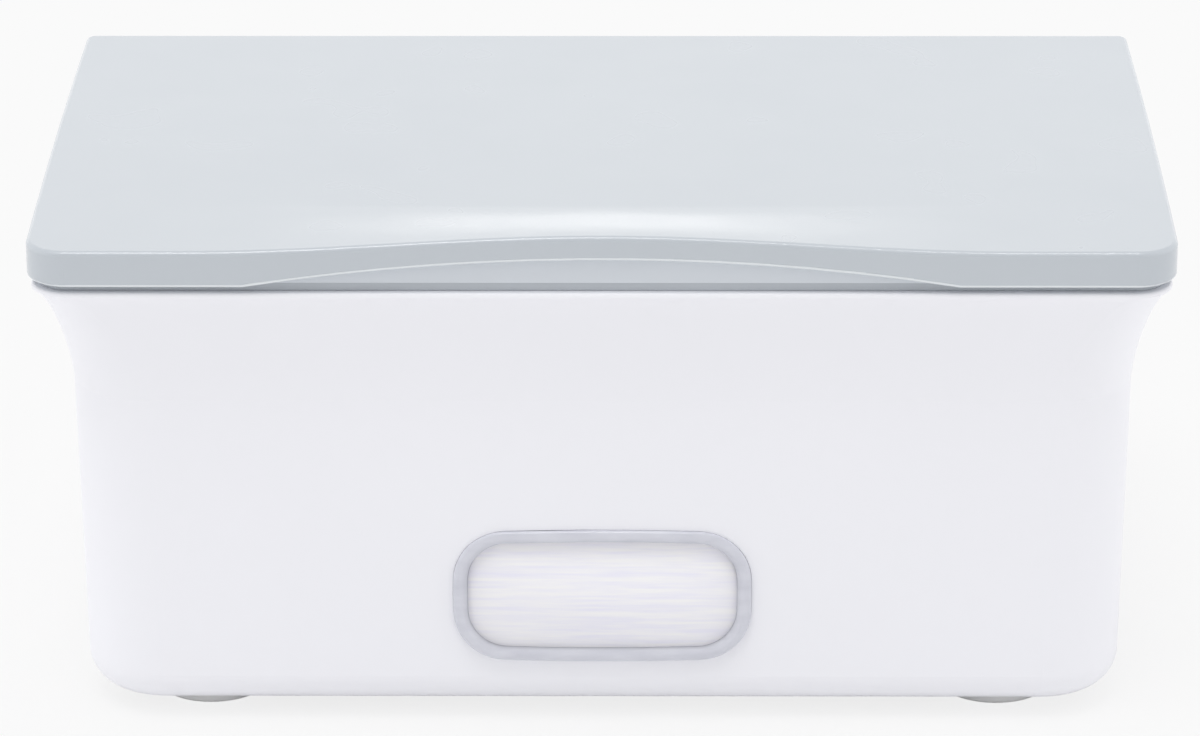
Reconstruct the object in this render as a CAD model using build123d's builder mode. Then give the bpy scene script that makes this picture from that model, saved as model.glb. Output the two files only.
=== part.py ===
from build123d import *
import math
import os

# A box for folded wet wipes: a flared tub on four soft feet, a hinged lid with a seal,
# a window that shows how many wipes are left, and a weighted plate that holds them flat.
# Millimetres. X runs to the right, Y to the back, Z up from what the feet stand on.

# Lid
lid_width = 222.0
lid_back_taper = 0.8
lid_depth = 130.0
lid_front_radius = 8.0
lid_back_radius = 2.0
lid_bow_line = -25.0
skirt_height = 7.0
skirt_wall = 2.0
lid_roof = 2.2
lid_edge_radius = 0.9
skirt_edge_radius = 0.5
lip_rise = 3.2
lip_half_span = 80.0
lip_blend = 26.0
arch_half_span = 69.0
arch_rise = 5.6
liner_gap = 0.15
liner_wall = 1.4

# Seam between lid and tub
seam_gap = 1.7

# Tub
tub_height = 91.1
rim_inset = 0.8
rim_lip = 0.9
rim_edge_radius = 0.6
flare_height = 24.0
flare_reach = 6.1
flare_curve = 0.75
draft = 1.0
tub_wall = 2.2
tub_floor = 2.4
rim_front_radius = 7.5
rim_back_radius = 3.0
tub_corner_radius = 16.0
base_radius = 7.0
cavity_base_radius = 4.0
mouth_wall = 5.8
mouth_back_wall = 9.4
mouth_radius = 6.0

# Seal in the lid
seal_lip_inset = 2.3
seal_back_inset = 6.8
seal_width = 1.8
seal_radius = 5.0
seal_clearance = 0.2
seal_fit = 0.05
seal_rib = 1.0

# Hinge
pin_radius = 1.25
pin_end = 1.6
pin_grip = 0.02
pin_clearance = 0.06
knuckle_radius = 2.6
knuckle_length = 24.0
ear_length = 7.0
ear_step = 0.8
hinge_side_gap = 0.4
hinge_spacing = 124.0
pivot_inset = 2.8
pivot_depth = 1.6
notch_clearance = 0.6
notch_depth = 4.2
notch_end_room = 3.0
web_seat = 1.0

# Catch at the front of the lid
catch_width = 26.0
catch_wall = 1.2
catch_reach = 6.5
catch_gap = 0.35
catch_ridge = 0.7
catch_foot = 1.2
bead_height = 2.2
bead_reach = 0.5

# Window
window_width = 58.7
window_height = 28.0
window_radius = 10.5
window_bow = 0.7
window_centre = 27.7
window_proud = 0.5
window_band = 2.5
window_seat = 0.7
window_seat_gap = 0.15
window_dish = 1.0
window_shoulder = 1.9
window_pane = 1.3
window_plug_wall = 1.5
window_plug_gap = 0.1
window_seal_thickness = 0.6
window_seal_width = 2.4
retainer_width = 3.4
retainer_thickness = 1.3
window_edge_radius = 0.6

# Feet
foot_height = 3.0
foot_radius = 11.5
foot_side_inset = 24.4
foot_end_inset = 19.6
foot_edge_radius = 0.8
peg_radius = 3.0
peg_length = 1.7
peg_clearance = 0.05
peg_end_gap = 0.1

# Folded wipes
stack_side_gap = 7.2
stack_end_gap = 3.3
stack_height = 58.0
stack_gap = 0.3
fold_count = 24
fold_bulge = 0.7

# Weighted plate
plate_side_gap = 1.7
plate_end_gap = 1.3
plate_radius = 13.0
plate_height = 9.0
plate_wall = 1.5
plate_fit = 0.15
plate_base_floor = 1.8
plate_edge_radius = 1.2
dome_width = 108.0
dome_depth = 58.0
dome_radius = 27.0
dome_rise = 4.0
dome_edge_radius = 2.4
tunnel_inset = 4.0
tunnel_height = 5.4
slot_length = 76.0
slot_width = 15.0
slot_lip = 1.4
weight_side_gap = 5.5
weight_dome_gap = 4.0
weight_end_gap = 10.0
weight_height = 3.2
weight_radius = 3.0
screw_dome_inset = 4.0
screw_end_inset = 8.0
screw_radius = 1.4
screw_length = 6.2
screw_head_radius = 2.5
screw_head_height = 1.1
screw_clearance = 0.05
screw_boss_radius = 3.0
screw_recess_width = 0.7
screw_recess_length = 2.6
screw_recess_depth = 0.6
weight_rib = 1.2
weight_rib_inset = 12.0

# Heights and faces that follow from the sizes above
rim_top = foot_height + tub_height
skirt_bottom = rim_top + seam_gap
lid_top = skirt_bottom + skirt_height
lid_front = -lid_depth / 2
lid_back = lid_depth / 2
flare_bottom = rim_top - rim_lip - flare_height
rim_half_width = lid_width / 2 - rim_inset
rim_half_depth = lid_depth / 2 - rim_inset
body_half_width = rim_half_width - flare_reach
body_half_depth = rim_half_depth - flare_reach
floor_top = foot_height + tub_floor
inner_half_width = body_half_width - tub_wall
inner_half_depth = body_half_depth - tub_wall
mouth_half_width = rim_half_width - mouth_wall
mouth_front = -(rim_half_depth - mouth_wall)
mouth_back = rim_half_depth - mouth_back_wall
pivot_y = lid_back - pivot_inset
pivot_z = rim_top - pivot_depth
liner_inset = skirt_wall + liner_gap
seal_root_inset = liner_inset + liner_wall + seal_fit
liner_roof_drop = lid_roof + liner_gap
liner_ceiling = lid_top - liner_roof_drop - liner_wall
stack_bottom = floor_top + stack_gap
stack_top = stack_bottom + stack_height
plate_bottom = stack_top + stack_gap
plate_top = plate_bottom + plate_height
tunnel_top = plate_bottom + tunnel_height + plate_wall
dome_top = plate_top + dome_rise
window_seat_y = -(body_half_depth - draft) + window_seat
window_face_y = -body_half_depth - window_proud
window_inner_y = -(inner_half_depth - draft)
window_seal_y = window_inner_y + window_seal_thickness
window_plug_end_y = window_seal_y + retainer_thickness
foot_spacing_x = 2 * (body_half_width - draft - foot_side_inset)
foot_spacing_y = 2 * (body_half_depth - draft - foot_end_inset)

# Widths and depths of what lies between the walls and behind the window's frame
stack_width = 2 * (inner_half_width - draft - stack_side_gap)
stack_depth = 2 * (-window_plug_end_y - stack_end_gap)
plate_width = 2 * (inner_half_width - draft - plate_side_gap)
plate_depth = 2 * (-window_plug_end_y - plate_end_gap)
weight_width = (plate_width - dome_width) / 2 - weight_side_gap - weight_dome_gap
weight_depth = plate_depth - 2 * weight_end_gap
weight_spacing = dome_width + 2 * weight_dome_gap + weight_width
screw_spacing_x = dome_width - 2 * screw_dome_inset
screw_spacing_y = plate_depth - 2 * screw_end_inset

SIDES = {"left": -1, "right": 1}
ENDS = {"front": -1, "rear": 1}
FLARE_STEPS = 7
FLARE_SPREAD = 1.5


def rounded_plan(half_width, front, back, front_radius, back_radius):
    """Four-sided outline with its own radius at the front and back corners."""
    corners = ((-half_width, front), (half_width, front), (half_width, back), (-half_width, back))
    with BuildSketch() as plan:
        with BuildLine():
            Polyline(*corners, close=True)
        make_face()
        fillet(plan.vertices().sort_by(Axis.Y)[:2], front_radius)
        fillet(plan.vertices().sort_by(Axis.Y)[-2:], back_radius)
    return plan.sketch


def lid_plan(inset):
    """Lid outline drawn in by an inset: straight front and back, sides bowed a little."""
    front, back = lid_front + inset, lid_back - inset
    widest = lid_width / 2 - inset
    at_back = widest - lid_back_taper
    bow_share = ((front - lid_bow_line) / (back - lid_bow_line)) ** 2
    at_front = widest - (widest - at_back) * bow_share
    with BuildSketch() as plan:
        with BuildLine():
            Line((-at_front, front), (at_front, front))
            ThreePointArc((at_front, front), (widest, lid_bow_line), (at_back, back))
            Line((at_back, back), (-at_back, back))
            ThreePointArc((-at_back, back), (-widest, lid_bow_line), (-at_front, front))
        make_face()
        fillet(plan.vertices().sort_by(Axis.Y)[:2], lid_front_radius - inset)
        fillet(plan.vertices().sort_by(Axis.Y)[-2:], max(lid_back_radius - inset, lid_back_radius / 4))
    return plan.sketch


def lid_profile(share, drop):
    """Cross-section under the lid's roof, where a share of the front lip's rise is reached."""
    half, low, flat = lid_width, skirt_bottom - skirt_height, lid_top - drop
    left, right = (-lip_half_span, flat), (lip_half_span, flat)
    steps = 16
    crest = []
    for step in range(steps + 1):
        x = lip_half_span * (2 * step / steps - 1)
        crest.append((x, flat + lip_rise * share * (1 + math.cos(math.pi * x / lip_half_span)) / 2))
    with BuildSketch() as profile:
        with BuildLine():
            Polyline(left, (-half, flat), (-half, low), (half, low), (half, flat), right)
            Spline(*crest, tangents=((1, 0), (1, 0)))
        make_face()
    return profile.sketch


def lid_block(inset, drop, bottom):
    """Solid from a level up to the lid's roof, drawn in and lowered by two insets."""
    blend_back = lid_front + lip_blend
    blend_steps = 8
    with BuildPart() as block:
        for step in range(-1, blend_steps + 1):
            turn = max(step, 0) / blend_steps
            with BuildSketch(Plane.XZ.offset(-lid_front - lip_blend * step / blend_steps)):
                add(lid_profile((1 + math.cos(math.pi * turn)) / 2, drop))
        loft()
        with BuildSketch(Plane.XZ.offset(-blend_back)):
            add(lid_profile(0, drop))
        extrude(amount=-lid_depth)
        with BuildSketch(Plane.XY.offset(bottom)):
            add(lid_plan(inset))
        extrude(amount=lid_top + lip_rise - bottom, mode=Mode.INTERSECT)
    return block.part


def flare_share(height):
    """How much of the flare's reach is there at a height: all in the lip, none in the body."""
    below_lip = min(max((rim_top - rim_lip - height) / flare_height, 0), 1)
    return (1 - below_lip**flare_curve) ** (1 / flare_curve)


def between(body_size, rim_size, share):
    """Size that goes from the body's to the rim's with the flare."""
    return body_size + (rim_size - body_size) * share


def tub_plan(height, inset=0):
    """Outside outline of the tub at a height, drawn in by the draft near the floor."""
    share = flare_share(height)
    half_width = between(body_half_width, rim_half_width, share) - inset
    half_depth = between(body_half_depth, rim_half_depth, share) - inset
    front_radius = between(tub_corner_radius, rim_front_radius, share)
    back_radius = between(tub_corner_radius, rim_back_radius, share)
    return rounded_plan(half_width, -half_depth, half_depth, front_radius, back_radius)


def cavity_plan(height, inset=0):
    """Inside outline of the tub at a height, drawn in by the draft near the floor."""
    share = flare_share(height)
    half_width = between(inner_half_width, mouth_half_width, share) - inset
    front = between(-inner_half_depth, mouth_front, share) + inset
    back = between(inner_half_depth, mouth_back, share) - inset
    radius = between(tub_corner_radius - tub_wall, mouth_radius, share)
    return rounded_plan(half_width, front, back, radius, radius)


def tub_form(plan, bottom, base_edge):
    """Solid inside a set of outlines: drafted body, flare, upright lip and a rounded base."""
    with BuildPart() as form:
        for height, inset in ((bottom, draft), (flare_bottom, 0)):
            with BuildSketch(Plane.XY.offset(height)):
                add(plan(height, inset))
        loft(ruled=True)
        fillet(form.faces().sort_by(Axis.Z)[0].edges(), base_edge)
        for step in range(FLARE_STEPS + 1):
            height = rim_top - rim_lip - flare_height * (1 - step / FLARE_STEPS) ** FLARE_SPREAD
            with BuildSketch(Plane.XY.offset(height)):
                add(plan(height))
        loft()
        with BuildSketch(Plane.XY.offset(rim_top - rim_lip)):
            add(plan(rim_top))
        extrude(amount=rim_lip)
    return form.part


def cavity_front(height):
    """Depth of the cavity's front wall at a height above the body."""
    return between(-inner_half_depth, mouth_front, flare_share(height))


def window_plan(grow):
    """Window outline: a rounded rectangle whose four sides bow out a little."""
    side, top = window_width / 2 + grow, window_height / 2 + grow
    corner_x, corner_z = side - window_bow, top - window_bow
    with BuildSketch() as plan:
        with BuildLine():
            for face in (1, -1):
                ThreePointArc((corner_x, face * corner_z), (0, face * top), (-corner_x, face * corner_z))
                ThreePointArc((face * corner_x, corner_z), (face * side, 0), (face * corner_x, -corner_z))
        make_face()
        fillet(plan.vertices(), window_radius + grow)
    return plan.sketch


def window_plane(y):
    """Upright plane that faces the front at a depth, centred on the window."""
    return Plane(origin=(0, y, window_centre), x_dir=(1, 0, 0), z_dir=(0, -1, 0))


def inset_plan(width, depth, radius, inset):
    """Rounded rectangle drawn in by an inset, with its corners drawn in alike."""
    with BuildSketch() as plan:
        RectangleRounded(width - 2 * inset, depth - 2 * inset, radius - inset)
    return plan.sketch


def finish(part, name):
    """Names a finished piece and writes its file."""
    part.label = name
    export_step(part, f"parts/{name}.step")


os.makedirs("parts", exist_ok=True)

# Tub: straight lower body with a little draft, a flare below the rim and a short upright lip
tub_outside = tub_form(tub_plan, foot_height, base_radius)
tub_cavity = tub_form(cavity_plan, floor_top, cavity_base_radius)
foot_places = GridLocations(foot_spacing_x, foot_spacing_y, 2, 2)
ear_inner = knuckle_length / 2 + hinge_side_gap
ear_outer = ear_inner + ear_length
notch_length = 2 * (ear_outer + notch_end_room)
notch_front = pivot_y - knuckle_radius - notch_clearance
notch_floor = pivot_z - notch_depth
bead_z = rim_top - bead_height
bead_tip = cavity_front(bead_z) + bead_reach

with BuildPart() as tub_shell:
    add(tub_outside)
    fillet(tub_shell.faces().sort_by(Axis.Z)[-1].edges(), rim_edge_radius)
    add(tub_cavity, mode=Mode.SUBTRACT)
    for side in SIDES.values():
        centre = side * hinge_spacing / 2
        with BuildSketch(Plane.YZ.offset(centre - notch_length / 2)):
            with Locations((notch_front, notch_floor)):
                Rectangle(lid_depth, lid_top, align=(Align.MIN, Align.MIN))
        extrude(amount=notch_length, mode=Mode.SUBTRACT)
        for end in (-ear_outer, ear_inner):
            with BuildSketch(Plane.YZ.offset(centre + end)):
                with Locations((pivot_y, pivot_z)):
                    Circle(knuckle_radius)
                with Locations((pivot_y - knuckle_radius, pivot_z)):
                    Rectangle(
                        2 * knuckle_radius - ear_step,
                        notch_depth + web_seat,
                        align=(Align.MIN, Align.MAX),
                    )
            extrude(amount=ear_length)
        with BuildSketch(Plane.YZ.offset(centre - ear_outer)):
            with Locations((pivot_y, pivot_z)):
                Circle(pin_radius + pin_grip)
        extrude(amount=2 * ear_outer, mode=Mode.SUBTRACT)
    with BuildSketch(window_plane(window_seat_y)):
        add(window_plan(window_seat_gap))
    extrude(amount=tub_wall, mode=Mode.SUBTRACT)
    with BuildSketch(window_plane(0)):
        add(window_plan(window_plug_gap - window_shoulder))
    extrude(amount=lid_depth, mode=Mode.SUBTRACT)
    with BuildSketch(Plane.YZ.offset(-catch_width / 2)):
        with BuildLine():
            Polyline(
                (mouth_front - mouth_wall / 2, bead_z + bead_reach),
                (cavity_front(bead_z + bead_reach), bead_z + bead_reach),
                (bead_tip, bead_z),
                (cavity_front(bead_z - bead_reach), bead_z - bead_reach),
                (mouth_front - mouth_wall / 2, bead_z - bead_reach),
                close=True,
            )
        make_face()
    extrude(amount=catch_width)
    with BuildSketch(Plane.XY.offset(foot_height)):
        with foot_places:
            Circle(peg_radius + peg_clearance)
    extrude(amount=peg_length + peg_end_gap, mode=Mode.SUBTRACT)
finish(tub_shell.part, "tub_shell")

# Window: a dished clear lens seated in the front wall, a soft ring and a frame that holds it inside
with BuildPart() as window_lens:
    with BuildSketch(window_plane(window_seat_y)):
        add(window_plan(0))
    extrude(amount=window_seat_y - window_face_y)
    fillet(window_lens.faces().sort_by(Axis.Y)[0].edges(), window_edge_radius)
    with BuildSketch(window_plane(window_face_y + window_dish)):
        add(window_plan(-window_band))
    extrude(amount=2 * window_dish, mode=Mode.SUBTRACT)
    with BuildSketch(window_plane(window_plug_end_y)):
        add(window_plan(-window_shoulder))
    extrude(amount=window_plug_end_y - window_seat_y)
    with BuildSketch(window_plane(window_plug_end_y)):
        add(window_plan(-window_shoulder - window_plug_wall))
    extrude(amount=window_plug_end_y - window_face_y - window_dish - window_pane, mode=Mode.SUBTRACT)
finish(window_lens.part, "window_lens")

window_rings = (
    ("window_seal", window_seal_y, window_seal_thickness, window_seal_width),
    ("window_retainer", window_plug_end_y, retainer_thickness, retainer_width),
)
for name, inner_face, thickness, width in window_rings:
    with BuildPart() as ring:
        with BuildSketch(window_plane(inner_face)):
            add(window_plan(window_plug_gap - window_shoulder + width))
            add(window_plan(window_plug_gap - window_shoulder), mode=Mode.SUBTRACT)
        extrude(amount=thickness)
    finish(ring.part, name)

# Lid: an outer cover with a raised lip and a finger arch, and a liner nested inside it
cover_outside = lid_block(0, 0, skirt_bottom)
cover_inside = lid_block(skirt_wall, lid_roof, skirt_bottom)
with BuildPart() as lid_cover:
    add(cover_outside)
    walls = lid_cover.faces().filter_by(lambda face: abs(face.normal_at().Z) < 0.5)
    fillet(walls.edges().filter_by_position(Axis.Z, lid_top - liner_gap, lid_top + lip_rise), lid_edge_radius)
    with BuildSketch(Plane.XZ.offset(-lid_front - skirt_wall)):
        with BuildLine():
            arch_ends = (-arch_half_span, skirt_bottom), (arch_half_span, skirt_bottom)
            ThreePointArc(arch_ends[0], (0, skirt_bottom + arch_rise), arch_ends[1])
            Line(*arch_ends)
        make_face()
    extrude(amount=2 * skirt_wall, mode=Mode.SUBTRACT)
    front_wall = lid_cover.faces().filter_by(Axis.Y).sort_by(Axis.Y)[0]
    arch_edge = front_wall.edges().filter_by(GeomType.CIRCLE)
    low_edges = lid_cover.edges().filter_by_position(Axis.Z, skirt_bottom, skirt_bottom)
    inner_edges = low_edges.filter_by_position(Axis.Y, lid_front + skirt_wall / 4, lid_front + 2 * skirt_wall)
    fillet(arch_edge + low_edges.filter_by(lambda edge: edge not in inner_edges), skirt_edge_radius)
    add(cover_inside, mode=Mode.SUBTRACT)
    for side in SIDES.values():
        centre = side * hinge_spacing / 2
        with BuildSketch(Plane.YZ.offset(centre - knuckle_length / 2)):
            with Locations((pivot_y, pivot_z)):
                Circle(knuckle_radius)
            with Locations((lid_back - skirt_wall, pivot_z)):
                Rectangle(
                    pivot_y + knuckle_radius - lid_back + skirt_wall,
                    skirt_bottom + web_seat - pivot_z,
                    align=(Align.MIN, Align.MIN),
                )
            with Locations((pivot_y, pivot_z)):
                Circle(pin_radius + pin_clearance, mode=Mode.SUBTRACT)
        extrude(amount=knuckle_length)
finish(lid_cover.part, "lid_cover")


def seal_plan(inset):
    """Lid outline drawn in by an inset and cut off straight in front of the hinge."""
    back = lid_back - seal_back_inset + seal_lip_inset - inset
    with BuildSketch() as plan:
        add(lid_plan(inset))
        with Locations((0, back)):
            Rectangle(lid_width, lid_depth, align=(Align.CENTER, Align.MAX), mode=Mode.INTERSECT)
        fillet(plan.vertices().sort_by(Axis.Y)[-2:], seal_radius)
    return plan.sketch


seal_inner_inset = seal_root_inset + seal_width
tongue_foot = rim_top - catch_reach
tongue_front = cavity_front(tongue_foot) + catch_gap + catch_ridge
liner_outside = lid_block(liner_inset, liner_roof_drop, skirt_bottom)
liner_inside = lid_block(liner_inset + liner_wall, liner_roof_drop + liner_wall, skirt_bottom)
with BuildPart() as seal_ribs:
    for rib_inset in (seal_root_inset - seal_fit - seal_rib, seal_inner_inset + seal_fit):
        with BuildSketch(Plane.XY.offset(skirt_bottom)):
            add(seal_plan(rib_inset))
            add(seal_plan(rib_inset + seal_rib), mode=Mode.SUBTRACT)
        extrude(amount=lid_top + lip_rise - skirt_bottom)
    add(liner_outside, mode=Mode.INTERSECT)
with BuildPart() as lid_liner:
    add(liner_outside)
    add(liner_inside, mode=Mode.SUBTRACT)
    add(seal_ribs.part)
    with BuildSketch(Plane.YZ.offset(-catch_width / 2)):
        with BuildLine():
            Polyline(
                (tongue_front, liner_ceiling + lip_rise + liner_wall / 2),
                (tongue_front, tongue_foot + 2 * catch_foot),
                (tongue_front - catch_ridge, tongue_foot + catch_foot),
                (tongue_front, tongue_foot),
                (tongue_front + catch_wall, tongue_foot),
                (tongue_front + catch_wall, liner_ceiling + lip_rise / 2),
                close=True,
            )
        make_face()
    extrude(amount=catch_width)
finish(lid_liner.part, "lid_liner")

with BuildPart() as lid_seal:
    with BuildSketch(Plane.XY.offset(rim_top + seal_clearance)):
        add(seal_plan(seal_lip_inset))
        add(seal_plan(seal_inner_inset), mode=Mode.SUBTRACT)
    extrude(amount=seam_gap - seal_clearance)
    with BuildSketch(Plane.XY.offset(skirt_bottom)):
        add(seal_plan(seal_root_inset))
        add(seal_plan(seal_inner_inset), mode=Mode.SUBTRACT)
    extrude(amount=liner_ceiling - seal_fit - skirt_bottom)
finish(lid_seal.part, "lid_seal")

for name, side in SIDES.items():
    with BuildPart() as hinge_pin:
        with BuildSketch(Plane.YZ.offset(side * hinge_spacing / 2 - ear_outer - pin_end)):
            with Locations((pivot_y, pivot_z)):
                Circle(pin_radius)
        extrude(amount=2 * (ear_outer + pin_end))
        chamfer(hinge_pin.edges(), pin_radius / 4)
    finish(hinge_pin.part, f"hinge_pin_{name}")

# Feet: soft pads under the corners, each with a peg in the tub's floor
for end_name, end in ENDS.items():
    for side_name, side in SIDES.items():
        with BuildPart() as foot:
            with BuildSketch():
                with Locations((side * foot_spacing_x / 2, end * foot_spacing_y / 2)):
                    Circle(foot_radius)
            extrude(amount=foot_height)
            fillet(foot.edges().sort_by(Axis.Z)[0], foot_edge_radius)
            with BuildSketch(Plane.XY.offset(foot_height)):
                with Locations((side * foot_spacing_x / 2, end * foot_spacing_y / 2)):
                    Circle(peg_radius)
            extrude(amount=peg_length)
        finish(foot.part, f"foot_{end_name}_{side_name}")

# Folded wipes: each fold shows as a soft bulge along the front and the back of the stack
fold_height = stack_height / fold_count
fold_face = stack_depth / 2 - fold_bulge
with BuildPart() as wipes_stack:
    with BuildSketch(Plane.YZ.offset(-stack_width / 2)):
        with BuildLine():
            for fold in range(fold_count):
                low = stack_bottom + fold_height * fold
                for face in (-1, 1):
                    middle = (face * (fold_face + fold_bulge), low + fold_height / 2)
                    ThreePointArc((face * fold_face, low), middle, (face * fold_face, low + fold_height))
            Line((-fold_face, stack_bottom), (fold_face, stack_bottom))
            Line((-fold_face, stack_top), (fold_face, stack_top))
        make_face()
    extrude(amount=stack_width)
finish(wipes_stack.part, "wipes_stack")

# Weighted plate: a cover with a domed slot over a base tray, two steel bars and four screws
weight_floor = plate_bottom + plate_base_floor
plate_ceiling = plate_top - plate_wall
dome_ceiling = dome_top - plate_wall
base_inset = plate_wall + plate_fit
dome_inset = plate_wall + dome_edge_radius / 2
screw_places = GridLocations(screw_spacing_x, screw_spacing_y, 2, 2)
with BuildPart() as plate_cover:
    with BuildSketch(Plane.XY.offset(plate_bottom)):
        RectangleRounded(plate_width, plate_depth, plate_radius)
    extrude(amount=plate_height)
    fillet(plate_cover.faces().sort_by(Axis.Z)[-1].edges(), plate_edge_radius)
    with BuildSketch(Plane.XY.offset(plate_top)):
        RectangleRounded(dome_width, dome_depth, dome_radius)
    extrude(amount=dome_rise)
    fillet(plate_cover.faces().sort_by(Axis.Z)[-1].edges(), dome_edge_radius)
    with BuildSketch(Plane.XY.offset(plate_bottom)):
        add(inset_plan(plate_width, plate_depth, plate_radius, plate_wall))
    extrude(amount=plate_height - plate_wall, mode=Mode.SUBTRACT)
    with BuildSketch(Plane.XY.offset(plate_ceiling)):
        add(inset_plan(dome_width, dome_depth, dome_radius, dome_inset))
    extrude(amount=dome_rise, mode=Mode.SUBTRACT)
    with BuildSketch(Plane.XY.offset(tunnel_top)):
        SlotOverall(slot_length + 2 * slot_lip, slot_width + 2 * slot_lip)
    extrude(amount=dome_ceiling - tunnel_top + plate_wall / 2)
    with BuildSketch(Plane.XY.offset(tunnel_top)):
        SlotOverall(slot_length, slot_width)
    extrude(amount=dome_top, mode=Mode.SUBTRACT)
    with BuildSketch(Plane.XY.offset(weight_floor)):
        with screw_places:
            Circle(screw_boss_radius)
    extrude(amount=plate_ceiling - weight_floor + plate_wall / 2)
    with BuildSketch(Plane.XY.offset(weight_floor)):
        with screw_places:
            Circle(screw_radius + screw_clearance)
    extrude(amount=screw_length, mode=Mode.SUBTRACT)
    with BuildSketch(Plane.XY.offset(weight_floor + weight_height)):
        with GridLocations(weight_spacing, 0, 2, 1):
            with GridLocations(weight_width / 2, 0, 2, 1):
                Rectangle(weight_rib, weight_depth - 2 * weight_rib_inset)
    extrude(amount=plate_ceiling - weight_floor - weight_height + plate_wall / 2)
finish(plate_cover.part, "plate_cover")

with BuildPart() as plate_base:
    with BuildSketch(Plane.XY.offset(plate_bottom)):
        add(inset_plan(plate_width, plate_depth, plate_radius, base_inset))
    extrude(amount=plate_base_floor)
    with BuildSketch(Plane.XY.offset(plate_bottom)):
        add(inset_plan(dome_width, dome_depth, dome_radius, tunnel_inset))
    extrude(amount=tunnel_height + plate_wall)
    with BuildSketch(Plane.XY.offset(plate_bottom)):
        add(inset_plan(dome_width, dome_depth, dome_radius, tunnel_inset + plate_wall))
    extrude(amount=tunnel_height, mode=Mode.SUBTRACT)
    with BuildSketch(Plane.XY.offset(plate_bottom)):
        SlotOverall(slot_length, slot_width)
        with screw_places:
            Circle(screw_radius + screw_clearance)
    extrude(amount=plate_height, mode=Mode.SUBTRACT)
    with BuildSketch(Plane.XY.offset(plate_bottom)):
        with screw_places:
            Circle(screw_head_radius + screw_clearance)
    extrude(amount=screw_head_height, mode=Mode.SUBTRACT)
finish(plate_base.part, "plate_base")

for name, side in SIDES.items():
    with BuildPart() as plate_weight:
        with BuildSketch(Plane.XY.offset(weight_floor)):
            with Locations((side * weight_spacing / 2, 0)):
                RectangleRounded(weight_width, weight_depth, weight_radius)
        extrude(amount=weight_height)
    finish(plate_weight.part, f"plate_weight_{name}")

for end_name, end in ENDS.items():
    for side_name, side in SIDES.items():
        place = Locations((side * screw_spacing_x / 2, end * screw_spacing_y / 2))
        with BuildPart() as plate_screw:
            with BuildSketch(Plane.XY.offset(plate_bottom)):
                with place:
                    Circle(screw_head_radius)
            extrude(amount=screw_head_height)
            with BuildSketch(Plane.XY.offset(plate_bottom)):
                with place:
                    Circle(screw_radius)
            extrude(amount=screw_length)
            with BuildSketch(Plane.XY.offset(plate_bottom)):
                with place:
                    Rectangle(screw_recess_length, screw_recess_width)
                    Rectangle(screw_recess_width, screw_recess_length)
            extrude(amount=screw_recess_depth, mode=Mode.SUBTRACT)
        finish(plate_screw.part, f"plate_screw_{end_name}_{side_name}")
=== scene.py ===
"""Looks of a wipes dispenser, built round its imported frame.

Metres throughout, Z up, the front faces -Y. Sizes that a maker would read in millimetres are
written as such and turned to metres by MM.
"""

import logging
import math
from dataclasses import dataclass, replace
from enum import Enum
from typing import Any, Callable, Optional

import bmesh
import bpy
from mathutils import Matrix, Vector

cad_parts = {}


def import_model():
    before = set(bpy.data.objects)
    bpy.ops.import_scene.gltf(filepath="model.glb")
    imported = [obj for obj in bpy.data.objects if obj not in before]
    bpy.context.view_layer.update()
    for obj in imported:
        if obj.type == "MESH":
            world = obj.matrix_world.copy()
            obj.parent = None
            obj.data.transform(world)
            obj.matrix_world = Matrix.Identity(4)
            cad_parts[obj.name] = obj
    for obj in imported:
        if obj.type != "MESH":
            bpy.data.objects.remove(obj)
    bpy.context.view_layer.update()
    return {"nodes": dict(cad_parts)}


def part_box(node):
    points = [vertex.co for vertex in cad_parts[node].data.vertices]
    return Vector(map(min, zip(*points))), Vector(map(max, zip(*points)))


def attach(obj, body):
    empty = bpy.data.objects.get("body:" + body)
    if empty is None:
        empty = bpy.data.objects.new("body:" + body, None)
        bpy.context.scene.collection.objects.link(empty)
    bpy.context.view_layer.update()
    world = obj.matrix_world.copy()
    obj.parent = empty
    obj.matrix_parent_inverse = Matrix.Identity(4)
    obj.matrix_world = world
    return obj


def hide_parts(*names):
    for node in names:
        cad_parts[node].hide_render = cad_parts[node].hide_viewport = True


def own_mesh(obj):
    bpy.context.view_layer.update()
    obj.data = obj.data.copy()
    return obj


MM = 0.001

SIDES = ("left", "right")
CORNERS = ("front_left", "front_right", "rear_left", "rear_right")

# Least share of a direction or a length that counts as all of it, and as most of it.
ALONG = 0.99
MOSTLY = 0.9

# Range that a noise's values mostly fill.
NOISE_MIDDLE = (0.3, 0.7)

Range = tuple[float, float]
Triple = tuple[float, float, float]
Piece = bpy.types.Object
Test = Callable[[Vector, Vector], bool]
Tree = bpy.types.NodeTree
Socket = bpy.types.NodeSocket

log = logging.getLogger("wipes_dispenser")


class Body(Enum):
    """Bodies of the frame that new pieces ride on."""

    TUB = "body"
    LID = "lid"


class Slot(Enum):
    """Material slots of the part's record."""

    LID = "lid_grey"
    WINDOW = "window_clear"
    SEAL = "seal_grey"
    FOOT = "foot_pale"
    WIPES = "wipes"


class Pick(Enum):
    """What a selection in edit mode holds."""

    POINTS = "VERT"
    EDGES = "EDGE"
    FACES = "FACE"


# Colours and nodes


def linear(colour: str) -> tuple[float, float, float, float]:
    """Turns an sRGB hex colour to linear light, by the constants of that standard.

    Args:
        colour: Six hex digits after a hash sign.

    Returns:
        Red, green, blue and an alpha of 1.
    """
    levels = [int(colour[place : place + 2], 16) / 255 for place in (1, 3, 5)]
    bent = [v / 12.92 if v <= 0.04045 else ((v + 0.055) / 1.055) ** 2.4 for v in levels]
    return (*bent, 1.0)


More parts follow.
